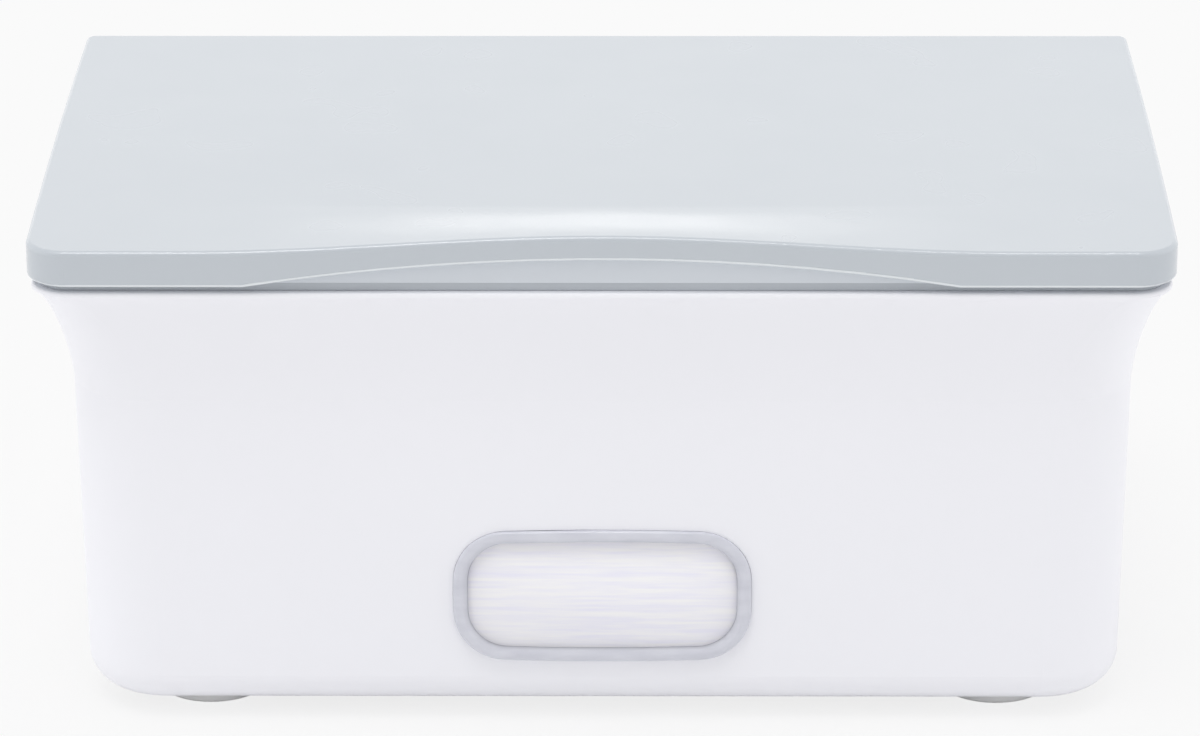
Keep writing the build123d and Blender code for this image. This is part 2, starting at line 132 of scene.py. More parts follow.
def add_node(
    tree: Tree,
    kind: str,
    inputs: Optional[dict[Any, Any]] = None,
    **settings: Any,
) -> bpy.types.Node:
    """Adds a node with its settings, its socket values and the links that feed it.

    Args:
        tree: Node tree that the node joins.
        kind: Blender's name for the node's type.
        inputs: Value or output socket for each input, by the input's name or number.
        settings: Values of the node's own properties.

    Returns:
        The new node.
    """
    node = tree.nodes.new(kind)
    for key, value in settings.items():
        setattr(node, key, value)
    for key, value in (inputs or {}).items():
        if isinstance(value, Socket):
            tree.links.new(value, node.inputs[key])
        else:
            node.inputs[key].default_value = value
    return node


def new_material(name: str) -> tuple[bpy.types.Material, Tree]:
    """Starts an empty node material.

    Args:
        name: Name of the material.

    Returns:
        The material and its node tree.
    """
    material = bpy.data.materials.new(name)
    material.use_nodes = True
    material.node_tree.nodes.clear()
    return material, material.node_tree


def per_mm(spacing_mm: float) -> float:
    """Scale that gives a pattern its spacing, on coordinates in metres."""
    return 1 / (spacing_mm * MM)


# Finishes


@dataclass(frozen=True)
class Finish:
    """Material with patterns that follow the piece's own coordinates.

    Attributes:
        name: Common name of the material and how its surface was made.
    """

    name: str

    def build(self) -> bpy.types.Material:
        """Makes the material.

        Returns:
            The material.
        """
        material, tree = new_material(self.name)
        place = add_node(tree, "ShaderNodeTexCoord").outputs["Object"]
        shader = add_node(tree, "ShaderNodeBsdfPrincipled", self.surface(tree, place))
        add_node(tree, "ShaderNodeOutputMaterial", {"Surface": shader.outputs[0]})
        return material

    def surface(self, tree: Tree, place: Socket) -> dict[str, Any]:
        """Makes the patterns of the finish.

        Args:
            tree: Node tree that the patterns join.
            place: Coordinates on the piece, in metres.

        Returns:
            Value or output socket for each input of the shader, by the input's name.
        """
        raise NotImplementedError


@dataclass(frozen=True)
class MouldedPlastic(Finish):
    """Opaque plastic or rubber as it leaves a mould.

    Attributes:
        colour: Main colour, sRGB hex.
        cloud: Colour of faint clouds where the melt flowed, sRGB hex.
        roughness: Roughness of the polished or textured mould wall.
        roughness_spread: How far handling moves the roughness either way.
        ior: Index of refraction.
        grain_mm: Spacing of the mould's fine grain.
        grain_depth_mm: Depth of that grain.
        sink_mm: Spacing of the slow waves left by shrinkage.
        sink_depth_mm: Depth of those waves.
        gloss: Weight of the sharp skin that a polished mould leaves.
        gloss_roughness: Roughness of that skin.
        glow_mm: How far light scatters under the surface.
        cloud_breadth: How many times broader the clouds are than the waves.
    """

    colour: str
    cloud: str
    roughness: float
    roughness_spread: float
    ior: float
    grain_mm: float
    grain_depth_mm: float
    sink_mm: float
    sink_depth_mm: float
    gloss: float = 0.0
    gloss_roughness: float = 0.12
    glow_mm: float = 0.0
    cloud_breadth: float = 4.0

    def surface(self, tree: Tree, place: Socket) -> dict[str, Any]:
        """Makes faint clouds, an uneven gloss, slow waves and a fine grain.

        Args:
            tree: Node tree that the patterns join.
            place: Coordinates on the piece, in metres.

        Returns:
            Value or output socket for each input of the shader, by the input's name.
        """
        inputs = {"Vector": place, "Scale": per_mm(self.cloud_breadth * self.sink_mm), "Detail": 1.0}
        clouds = add_node(tree, "ShaderNodeTexNoise", inputs)
        inputs = {"Vector": place, "Scale": per_mm(self.sink_mm), "Detail": 1.0}
        slow = add_node(tree, "ShaderNodeTexNoise", inputs)
        inputs = {"Vector": place, "Scale": per_mm(self.grain_mm), "Detail": 2.0}
        grain = add_node(tree, "ShaderNodeTexNoise", inputs)
        inputs = {0: clouds.outputs["Fac"], 6: linear(self.colour), 7: linear(self.cloud)}
        colour = add_node(tree, "ShaderNodeMix", inputs, data_type="RGBA")
        inputs = {
            "Value": slow.outputs["Fac"],
            "From Min": NOISE_MIDDLE[0],
            "From Max": NOISE_MIDDLE[1],
            "To Min": self.roughness - self.roughness_spread,
            "To Max": self.roughness + self.roughness_spread,
        }
        roughness = add_node(tree, "ShaderNodeMapRange", inputs)
        inputs = {"Distance": self.sink_depth_mm * MM, "Height": slow.outputs["Fac"]}
        waves = add_node(tree, "ShaderNodeBump", inputs)
        inputs = {
            "Distance": self.grain_depth_mm * MM,
            "Height": grain.outputs["Fac"],
            "Normal": waves.outputs["Normal"],
        }
        bump = add_node(tree, "ShaderNodeBump", inputs)
        return {
            "Base Color": colour.outputs[2],
            "Roughness": roughness.outputs["Result"],
            "IOR": self.ior,
            "Coat Weight": self.gloss,
            "Coat Roughness": self.gloss_roughness,
            "Subsurface Weight": 1.0 if self.glow_mm else 0.0,
            "Subsurface Radius": (1.0, 1.0, 1.0),
            "Subsurface Scale": self.glow_mm * MM,
            "Normal": bump.outputs["Normal"],
        }


@dataclass(frozen=True)
class ClearPlastic(Finish):
    """Clear moulded plastic, a little hazy.

    Attributes:
        colour: Tint, sRGB hex.
        streak: Tint of the faint level streaks, sRGB hex.
        haze: Share of the light that the plastic scatters back.
        roughness: Roughness of the polished mould wall.
        ior: Index of refraction.
        ripple_mm: Spacing of the flow ripples.
        ripple_depth_mm: Depth of those ripples.
        streak_mm: Spacing of the streaks, one above the other.
        stretch: How many times longer than high a streak is.
        streak_range: Values of the streaks' noise from which and up to which they fade in.
    """

    colour: str
    streak: str
    haze: float
    roughness: float
    ior: float
    ripple_mm: float
    ripple_depth_mm: float
    streak_mm: float
    stretch: float
    streak_range: Range = (0.35, 0.7)

    def surface(self, tree: Tree, place: Socket) -> dict[str, Any]:
        """Makes level streaks and slow ripples.

        Args:
            tree: Node tree that the patterns join.
            place: Coordinates on the piece, in metres.

        Returns:
            Value or output socket for each input of the shader, by the input's name.
        """
        inputs = {"Vector": place, "Scale": (1 / self.stretch, 1 / self.stretch, 1.0)}
        level = add_node(tree, "ShaderNodeMapping", inputs)
        inputs = {"Vector": level.outputs["Vector"], "Scale": per_mm(self.streak_mm), "Detail": 4.0}
        streaks = add_node(tree, "ShaderNodeTexNoise", inputs)
        fade_from, fade_to = self.streak_range
        inputs = {"Value": streaks.outputs["Fac"], "From Min": fade_from, "From Max": fade_to}
        share = add_node(tree, "ShaderNodeMapRange", inputs)
        inputs = {0: share.outputs["Result"], 6: linear(self.colour), 7: linear(self.streak)}
        colour = add_node(tree, "ShaderNodeMix", inputs, data_type="RGBA")
        inputs = {"Vector": place, "Scale": per_mm(self.ripple_mm), "Detail": 2.0}
        ripple = add_node(tree, "ShaderNodeTexNoise", inputs)
        inputs = {"Distance": self.ripple_depth_mm * MM, "Height": ripple.outputs["Fac"]}
        bump = add_node(tree, "ShaderNodeBump", inputs)
        return {
            "Base Color": colour.outputs[2],
            "Roughness": self.roughness,
            "IOR": self.ior,
            "Alpha": self.haze,
            "Normal": bump.outputs["Normal"],
        }


@dataclass(frozen=True)
class DrawnSteel(Finish):
    """Bright steel drawn or rolled along one direction.

    Attributes:
        colour: Reflected colour, sRGB hex.
        roughness: Middle of the roughness.
        line_mm: Spacing of the drawing lines.
        line_depth_mm: Depth of the lines.
        roughness_share: How far the lines move the roughness either way, as a share of it.
        stretch: How many times longer than wide the lines are.
    """

    colour: str
    roughness: float
    line_mm: float
    line_depth_mm: float
    roughness_share: float = 0.3
    stretch: float = 50.0

    def surface(self, tree: Tree, place: Socket) -> dict[str, Any]:
        """Makes fine lines along X.

        Args:
            tree: Node tree that the patterns join.
            place: Coordinates on the piece, in metres.

        Returns:
            Value or output socket for each input of the shader, by the input's name.
        """
        inputs = {"Vector": place, "Scale": (1 / self.stretch, 1.0, 1.0)}
        along = add_node(tree, "ShaderNodeMapping", inputs)
        inputs = {"Vector": along.outputs["Vector"], "Scale": per_mm(self.line_mm), "Detail": 3.0}
        lines = add_node(tree, "ShaderNodeTexNoise", inputs)
        spread = self.roughness * self.roughness_share
        inputs = {
            "Value": lines.outputs["Fac"],
            "To Min": self.roughness - spread,
            "To Max": self.roughness + spread,
        }
        roughness = add_node(tree, "ShaderNodeMapRange", inputs)
        inputs = {"Distance": self.line_depth_mm * MM, "Height": lines.outputs["Fac"]}
        bump = add_node(tree, "ShaderNodeBump", inputs)
        return {
            "Base Color": linear(self.colour),
            "Metallic": 1.0,
            "Roughness": roughness.outputs["Result"],
            "Normal": bump.outputs["Normal"],
        }


@dataclass(frozen=True)
class WetNonwoven(Finish):
    """Damp nonwoven cloth, water-jet bonded and pressed with small pillows.

    Attributes:
        colour: Colour of the raised cloth, sRGB hex.
        shade: Colour between the pillows, a painted shade in the hollows there, sRGB hex.
        roughness: Roughness of the damp fibres.
        sheen: How much the loose fibres catch light at a glance.
        pillow_mm: Spacing of the pressed pillows.
        pillow_depth_mm: Height of the pillows.
        fibre_mm: Spacing of the fibres, coarser than real ones so that they show.
        fibre_depth_mm: Height of the fibres.
        pillow_stray: How far the pillows stray from even rows, from 0 to 1.
    """

    colour: str
    shade: str
    roughness: float
    sheen: float
    pillow_mm: float
    pillow_depth_mm: float
    fibre_mm: float
    fibre_depth_mm: float
    pillow_stray: float = 0.35

    def surface(self, tree: Tree, place: Socket) -> dict[str, Any]:
        """Makes the pressed pillows and the fibres on them.

        Args:
            tree: Node tree that the patterns join.
            place: Coordinates on the piece, in metres.

        Returns:
            Value or output socket for each input of the shader, by the input's name.
        """
        inputs = {"Vector": place, "Scale": per_mm(self.pillow_mm), "Randomness": self.pillow_stray}
        pillows = add_node(tree, "ShaderNodeTexVoronoi", inputs, feature="SMOOTH_F1")
        # Painted shade: the colour darkens from each pillow's middle into the hollows round it.
        inputs = {0: pillows.outputs["Distance"], 6: linear(self.colour), 7: linear(self.shade)}
        colour = add_node(tree, "ShaderNodeMix", inputs, data_type="RGBA")
        inputs = {"Distance": self.pillow_depth_mm * MM, "Height": pillows.outputs["Distance"]}
        raised = add_node(tree, "ShaderNodeBump", inputs, invert=True)
        inputs = {"Vector": place, "Scale": per_mm(self.fibre_mm), "Detail": 6.0, "Distortion": 1.5}
        fibres = add_node(tree, "ShaderNodeTexNoise", inputs)
        inputs = {
            "Distance": self.fibre_depth_mm * MM,
            "Height": fibres.outputs["Fac"],
            "Normal": raised.outputs["Normal"],
        }
        bump = add_node(tree, "ShaderNodeBump", inputs)
        return {
            "Base Color": colour.outputs[2],
            "Roughness": self.roughness,
            "Sheen Weight": self.sheen,
            "Normal": bump.outputs["Normal"],
        }


# Glossy ABS from a polished mould: soft, clear reflections and a bright line on each edge.
LID_PLASTIC = MouldedPlastic(
    name="abs_polished_mould_blue_grey",
    colour="#C1C7CD",
    cloud="#BEC4CB",
    roughness=0.30,
    roughness_spread=0.03,
    ior=1.53,
    grain_mm=0.9,
    grain_depth_mm=0.002,
    sink_mm=16.0,
    sink_depth_mm=0.012,
    gloss=0.5,
)

# The lid's bead, shinier than the wall above and paler: a painted highlight for the bright line along the
# skirt's lower edge and arch.
BEAD_PLASTIC_PAINTED_HIGHLIGHT = replace(
    LID_PLASTIC,
    name="abs_bead_painted_highlight",
    colour="#E4E9EC",
    cloud="#DFE4E8",
    roughness=0.22,
    roughness_spread=0.02,
    grain_depth_mm=0.001,
    sink_depth_mm=0.004,
)

# The same ABS a shade paler, where the liner's wall is thin: painted light, for the light that the thin
# wall lets through.
LINER_PLASTIC_PAINTED_LIGHT = replace(
    LID_PLASTIC,
    name="abs_polished_mould_grey_painted_light",
    colour="#D8DDE3",
    cloud="#D4D9E0",
    roughness=0.34,
    roughness_spread=0.04,
    grain_depth_mm=0.003,
    sink_depth_mm=0.010,
    gloss=0.0,
)

# White polypropylene from a fine-textured mould: milky, with broad soft highlights.
TUB_PLASTIC = MouldedPlastic(
    name="polypropylene_fine_mould_white",
    colour="#F6F6FB",
    cloud="#F3F3F8",
    roughness=0.42,
    roughness_spread=0.04,
    ior=1.49,
    grain_mm=0.9,
    grain_depth_mm=0.002,
    sink_mm=20.0,
    sink_depth_mm=0.010,
)

# Satin ABS from a spark-eroded mould: a fine even grain that breaks up reflections.
PLATE_PLASTIC = MouldedPlastic(
    name="abs_spark_eroded_mould_white",
    colour="#EFF0F2",
    cloud="#EBEDF0",
    roughness=0.52,
    roughness_spread=0.04,
    ior=1.53,
    grain_mm=0.5,
    grain_depth_mm=0.010,
    sink_mm=24.0,
    sink_depth_mm=0.006,
)

# Grey silicone rubber: matt, with a dusty softness.
SEAL_RUBBER = MouldedPlastic(
    name="silicone_rubber_moulded_grey",
    colour="#BEC3C9",
    cloud="#B8BDC3",
    roughness=0.62,
    roughness_spread=0.06,
    ior=1.41,
    grain_mm=0.4,
    grain_depth_mm=0.004,
    sink_mm=7.0,
    sink_depth_mm=0.004,
)

# Pale translucent silicone: light bleeds into its edges.
FOOT_RUBBER = replace(
    SEAL_RUBBER,
    name="silicone_rubber_moulded_pale",
    colour="#FCFCFB",
    cloud="#F7F7F6",
    roughness=0.48,
    roughness_spread=0.05,
    sink_depth_mm=0.006,
    glow_mm=1.0,
)

# Clear acrylic with a frosted back and a lavender cast: what lies behind shows as through milk.
PANE_PLASTIC = ClearPlastic(
    name="acrylic_frosted_back_lavender",
    colour="#FEFDFF",
    streak="#F5F4FF",
    haze=0.96,
    roughness=0.16,
    ior=1.49,
    ripple_mm=12.0,
    ripple_depth_mm=0.006,
    streak_mm=0.8,
    stretch=16.0,
)

# The same acrylic where it sits solid on the tub, and it hides what is behind it; its greyer colour is
# painted shade, for the shade in its thick edges.
BAND_PLASTIC_PAINTED_SHADE = ClearPlastic(
    name="acrylic_polished_mould_band_painted_shade",
    colour="#DBDCE5",
    streak="#D2D3DD",
    haze=0.96,
    roughness=0.14,
    ior=1.49,
    ripple_mm=9.0,
    ripple_depth_mm=0.004,
    streak_mm=2.4,
    stretch=3.0,
)

# Stainless steel, cold-drawn: fine lines along its length and stretched highlights.
STEEL = DrawnSteel(
    name="stainless_steel_cold_drawn",
    colour="#C9CBCD",
    roughness=0.30,
    line_mm=0.25,
    line_depth_mm=0.002,
)

# Damp water-jet bonded nonwoven: soft white, with pressed pillows and a slight wet sheen.
WIPES_CLOTH = WetNonwoven(
    name="nonwoven_waterjet_bonded_damp",
    colour="#F4F5F8",
    shade="#E4E7EC",
    roughness=0.62,
    sheen=0.25,
    pillow_mm=3.2,
    pillow_depth_mm=0.16,
    fibre_mm=0.5,
    fibre_depth_mm=0.05,
)


# Bench: how pieces are picked up, shaped and set in place


def take_up(*pieces: Piece) -> None:
    """Selects the pieces alone and makes the first of them active.

    Args:
        pieces: The pieces.
    """
    bpy.ops.object.select_all(action="DESELECT")
    for piece in pieces:
        piece.select_set(True)
    bpy.context.view_layer.objects.active = pieces[0]


def twin(piece: Piece) -> Piece:
    """Gives a copy of a piece, with a mesh of its own.

    Args:
        piece: The piece.

    Returns:
        The copy.
    """
    copy = piece.copy()
    copy.data = piece.data.copy()
    bpy.context.scene.collection.objects.link(copy)
    return copy


def pick(kind: Pick, test: Test) -> None:
    """Selects, in edit mode, what passes a test on its middle and its direction.

    Args:
        kind: Points, edges or faces.
        test: Takes the middle and the direction, which is the normal, or an edge's own line.
    """
    bpy.ops.mesh.select_mode(type=kind.value)
    bpy.ops.mesh.select_all(action="DESELECT")
    mesh = bmesh.from_edit_mesh(bpy.context.object.data)
    mesh.normal_update()
    if kind is Pick.POINTS:
        found = [v for v in mesh.verts if test(v.co, v.normal)]
    elif kind is Pick.FACES:
        found = [f for f in mesh.faces if test(f.calc_center_median(), f.normal)]
    else:
        found = []
        for edge in mesh.edges:
            start, end = edge.verts[0].co, edge.verts[1].co
            if test((start + end) / 2, (end - start).normalized()):
                found.append(edge)
    for thing in found:
        thing.select_set(True)
    mesh.select_flush_mode()
    bmesh.update_edit_mesh(bpy.context.object.data)


def near(value: float, target: float, room: float = 0.02 * MM) -> bool:
    """Says whether a value lies at a target."""
    return abs(value - target) < room


def open_mesh() -> None:
    """Goes into edit mode with what is taken up."""
    bpy.ops.object.mode_set(mode="EDIT")


def close_mesh() -> None:
    """Comes back from edit mode."""
    bpy.ops.object.mode_set(mode="OBJECT")


def extrude(rise: float) -> None:
    """Draws what is picked out along Z."""
    bpy.ops.mesh.extrude_region_move(TRANSFORM_OT_translate={"value": (0, 0, rise)})


def settle() -> None:
    """Keeps the place, the turn and the size of what is taken up in its mesh."""
    bpy.ops.object.transform_apply(location=True, rotation=True, scale=True)


def stand(piece: Piece, place: Vector, turn: Triple = (0.0, 0.0, 0.0)) -> None:
    """Moves and turns a finished piece, with the move kept in its mesh.

    Args:
        piece: The piece.
        place: How far it moves.
        turn: How far it turns about X, Y and Z, in radians.
    """
    take_up(piece)
    piece.rotation_mode = "XYZ"
    piece.location = place
    piece.rotation_euler = turn
    settle()


@dataclass
class Frame:
    """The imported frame, with what the pieces take from it.

    Attributes:
        nodes: Object of each carried-over node, by name.
        materials: Finished material of each finish, by the finish's name.
        merge_mm: Points of a node nearer than this are one point in a merged copy.
        flat_deg: Faces of a node that meet at less than this are one face there.
    """

    nodes: dict[str, Piece]
    materials: dict[str, bpy.types.Material]
    merge_mm: float = 0.001
    flat_deg: float = 1.0

    def material(self, finish: Finish) -> bpy.types.Material:
        """Gives a finish's material, made the first time that it is asked for.

        Args:
            finish: The finish.

        Returns:
            The material.
        """
        if finish.name not in self.materials:
            self.materials[finish.name] = finish.build()
        return self.materials[finish.name]

    def dress(self, finish: Finish, *names: str) -> None:
        """Gives every material slot of the named nodes one finish.

        Args:
            finish: The finish.
            names: Names of the nodes.
        """
        for name in names:
            node = self.nodes[name]
            if not node.material_slots:
                node.data.materials.append(self.material(finish))
            for place in node.material_slots:
                place.material = self.material(finish)
            log.info("dressed %s in %s", name, finish.name)

    def box(self, name: str) -> tuple[Vector, Vector]:
        """Gives a node's lowest and highest corners."""
        low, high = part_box(name)
        return Vector(low), Vector(high)

    def hand_over(
        self,
        piece: Piece,
        name: str,
        body: Body,
        node: Optional[str],
        smooth_deg: float = 35.0,
    ) -> None:
        """Names a finished piece, smooths it and lets it ride, for a node where it has one.

        Args:
            piece: The piece.
            name: Its name.
            body: Body that it rides on.
            node: Node that it stands for, if any.
            smooth_deg: Edges flatter than this are smoothed.
        """
        take_up(piece)
        bpy.ops.object.shade_smooth_by_angle(angle=math.radians(smooth_deg))
        piece.name = name
        piece.data.name = name
        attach(piece, body.value)
        if node:
            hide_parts(node)
        log.info("built %s, %d faces", name, len(piece.data.polygons))

    def merged_copy(self, name: str) -> Piece:
        """Gives a copy of a node with its loose triangles joined and its flat faces whole.

        Args:
            name: Name of the node.

        Returns:
            The copy, taken up.
        """
        piece = twin(self.nodes[name])
        take_up(piece)
        open_mesh()
        bpy.ops.mesh.select_all(action="SELECT")
        bpy.ops.mesh.remove_doubles(threshold=self.merge_mm * MM)
        bpy.ops.mesh.dissolve_limited(angle_limit=math.radians(self.flat_deg))
        close_mesh()
        return piece

    def edges_of(self, name: str, test: Test) -> Piece:
        """Gives a new piece that holds a node's edges alone.

        Args:
            name: Name of the node.
            test: Takes an edge's middle and its line, and says whether the edge is wanted.

        Returns:
            The new piece, taken up.
        """
        whole = self.merged_copy(name)
        open_mesh()
        pick(Pick.EDGES, test)
        bpy.ops.mesh.duplicate()
        bpy.ops.mesh.separate(type="SELECTED")
        close_mesh()
        line = next(piece for piece in bpy.context.selected_objects if piece != whole)
        bpy.data.objects.remove(whole)
        line.data.materials.clear()
        take_up(line)
        return line


# Tub with its window and feet


@dataclass
class Window:
    """Dished lens in the front wall, with a solid band round a hazy pane.

    Attributes:
        corner_mm: Corner radius of the outline.
        bow_mm: How far each side bows out.
        aslant: Greatest outward share in the direction of an edge that follows the outline.
        fit_mm: How much the outline grows to close up with its seat.
        band_sides_mm: Width of the solid band at its left and right.
        band_top_mm: Width of the band at its top.
        band_bottom_mm: Width of the band at its bottom.
        edge_mm: Radius of the outer edge.
        crown_mm: How far the band's middle stands above its sides.
        lip_mm: Width of the sloped step between band and pane.
        groove_mm: Depth of the fine groove round the pane.
        dish_mm: Depth of the pane under the band.
        shoulder_mm: Width of the flange on the tub.
        plug_wall_mm: Wall of the plug behind the flange.
        pane_mm: Thickness of the pane.
        pane_reach_mm: How near the lens's middle the middles of the pane's two faces lie.
        plug_depth_mm: Reach of the plug behind the flange.
        tick_mm: Length, width and height of the gate's mark on the band.
    """

    corner_mm: float = 10.5
    bow_mm: float = 0.7
    aslant: float = 0.3
    fit_mm: float = 0.1
    band_sides_mm: float = 2.6
    band_top_mm: float = 2.1
    band_bottom_mm: float = 2.45
    edge_mm: float = 0.6
    crown_mm: float = 0.12
    lip_mm: float = 0.12
    groove_mm: float = 0.12
    dish_mm: float = 1.0
    shoulder_mm: float = 1.9
    plug_wall_mm: float = 1.5
    pane_mm: float = 1.3
    pane_reach_mm: float = 2.0
    plug_depth_mm: float = 3.4
    tick_mm: Triple = (0.35, 0.8, 0.05)

    def build(self, frame: Frame) -> None:
        """Makes the lens flat on the bench, stands it in the wall and dresses it.

        Args:
            frame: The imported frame.
        """
        low, high = frame.box("window_lens")
        width = high.x - low.x + 2 * self.fit_mm * MM
        height = high.z - low.z + 2 * self.fit_mm * MM
        flange = high.y - low.y - self.plug_depth_mm * MM
        lens = self.outline(frame, width, height)
        self.thicken(flange)
        self.draw_band(width, height, flange)
        self.draw_plug(flange)
        self.colour_pane(lens, frame)
        tick = self.tick(height, flange)
        take_up(lens, tick)
        bpy.ops.object.join()
        seat = Vector(((low.x + high.x) / 2, low.y + flange, (low.z + high.z) / 2))
        stand(lens, seat, (math.pi / 2, 0.0, 0.0))
        frame.hand_over(lens, "window_lens_moulded", Body.TUB, "window_lens")
        frame.dress(SEAL_RUBBER, "window_seal")
        frame.dress(TUB_PLASTIC, "window_retainer")

    def outline(self, frame: Frame, width: float, height: float) -> Piece:
        """Lays the lens's bowed, round-cornered outline flat on the bench and fills it.

        Args:
            frame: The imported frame.
            width: Width of the finished outline.
            height: Height of the finished outline.

        Returns:
            The filled outline, left in edit mode.
        """
        low, high = frame.box("window_lens")
        seat = high.y - self.plug_depth_mm * MM
        middle = (low + high) / 2
        corner = (self.corner_mm + self.bow_mm) * MM
        core = Vector((high.x - middle.x - corner, 0.0, high.z - middle.z - corner))
        reach = (self.corner_mm - self.shoulder_mm / 2) * MM

        def outermost(at: Vector, way: Vector) -> bool:
            """Says whether an edge at the seat runs round the outside.

            Args:
                at: Middle of the edge.
                way: Direction of the edge.

            Returns:
                Whether it does.
            """
            across = math.copysign(max(abs(at.x - middle.x) - core.x, 0.0), at.x - middle.x)
            up = math.copysign(max(abs(at.z - middle.z) - core.z, 0.0), at.z - middle.z)
            out = Vector((across, 0.0, up))
            along = abs(out.dot(way)) < self.aslant * out.length
            return along and near(at.y, seat) and out.length > reach

        lens = frame.edges_of("window_lens", outermost)
        stand(lens, Vector((-middle.x, -middle.z, seat)), (-math.pi / 2, 0.0, 0.0))
        lens.scale = (width / (high.x - low.x), height / (high.z - low.z), 1.0)
        settle()
        open_mesh()
        bpy.ops.mesh.select_all(action="SELECT")
        bpy.ops.mesh.edge_face_add()
        return lens

    def thicken(self, flange: float) -> None:
        """Draws the flange out of the outline and rounds its front edge.

        Args:
            flange: Thickness of the flange, whose back lies on the bench.
        """
        extrude(flange)
        bpy.ops.mesh.select_all(action="SELECT")
        bpy.ops.mesh.normals_make_consistent(inside=False)
        pick(Pick.EDGES, lambda at, way: near(at.z, flange))
        bpy.ops.mesh.bevel(offset=self.edge_mm * MM, segments=4)

    def draw_band(self, width: float, height: float, flange: float) -> None:
        """Draws the crowned band, the groove and the dished pane into the front.

        Args:
            width: Width of the outline.
            height: Height of the outline.
            flange: Height of the front above the bench.
        """
        pick(Pick.FACES, lambda at, way: near(at.z, flange) and way.z > ALONG)
        half_band = (self.band_top_mm + self.fit_mm - self.edge_mm) * MM / 2
        bpy.ops.mesh.inset(thickness=half_band, depth=self.crown_mm * MM)
        bpy.ops.mesh.inset(thickness=half_band, depth=-self.crown_mm * MM)
        band = (self.band_top_mm + self.fit_mm) * MM
        wider = (self.band_sides_mm - self.band_top_mm) * MM
        lower = (self.band_bottom_mm - self.band_top_mm) * MM
        across = 1 - 2 * wider / (width - 2 * band)
        up = 1 - lower / (height - 2 * band)
        bpy.ops.transform.resize(value=(across, up, 1.0), center_override=(0, 0, 0))
        bpy.ops.transform.translate(value=(0, lower / 2, 0))
        bpy.ops.mesh.inset(thickness=self.lip_mm * MM, depth=-(self.dish_mm + self.groove_mm) * MM)
        bpy.ops.mesh.inset(thickness=self.lip_mm * MM, depth=self.groove_mm * MM)

    def draw_plug(self, flange: float) -> None:
        """Draws the hollow plug out of the back, as far as the pane.

        Args:
            flange: Thickness of the flange.
        """
        pick(Pick.FACES, lambda at, way: near(at.z, 0) and way.z < -ALONG)
        bpy.ops.mesh.inset(thickness=(self.shoulder_mm + self.fit_mm) * MM)
        extrude(-self.plug_depth_mm * MM)
        bpy.ops.mesh.inset(thickness=self.plug_wall_mm * MM)
        pocket = self.plug_depth_mm * MM + flange - (self.dish_mm + self.pane_mm) * MM
        bpy.ops.mesh.inset(thickness=self.lip_mm * MM, depth=-pocket)

    def colour_pane(self, lens: Piece, frame: Frame) -> None:
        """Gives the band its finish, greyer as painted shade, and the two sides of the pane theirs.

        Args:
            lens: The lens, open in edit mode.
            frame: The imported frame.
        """
        # Painted shade: the band's greyer colour stands for the shade in its thick edges.
        lens.data.materials.append(frame.material(BAND_PLASTIC_PAINTED_SHADE))
        lens.data.materials.append(frame.material(PANE_PLASTIC))
        pick(Pick.FACES, lambda at, way: abs(way.z) > ALONG and at.xy.length < self.pane_reach_mm * MM)
        lens.active_material_index = 1
        bpy.ops.object.material_slot_assign()
        close_mesh()

    def tick(self, height: float, flange: float) -> Piece:
        """Makes the small mark that the mould's gate leaves on the lower band.

        Args:
            height: Height of the outline.
            flange: Height of the front above the bench.

        Returns:
            The mark.
        """
        length, width, rise = (size * MM for size in self.tick_mm)
        middle = (0, -height / 2 + (self.band_bottom_mm + self.edge_mm) * MM / 2, flange)
        bpy.ops.mesh.primitive_cube_add(size=1.0, location=middle, scale=(length, width, 2 * rise))
        settle()
        open_mesh()
        bpy.ops.mesh.bevel(offset=rise, segments=2)
        close_mesh()
        return bpy.context.object


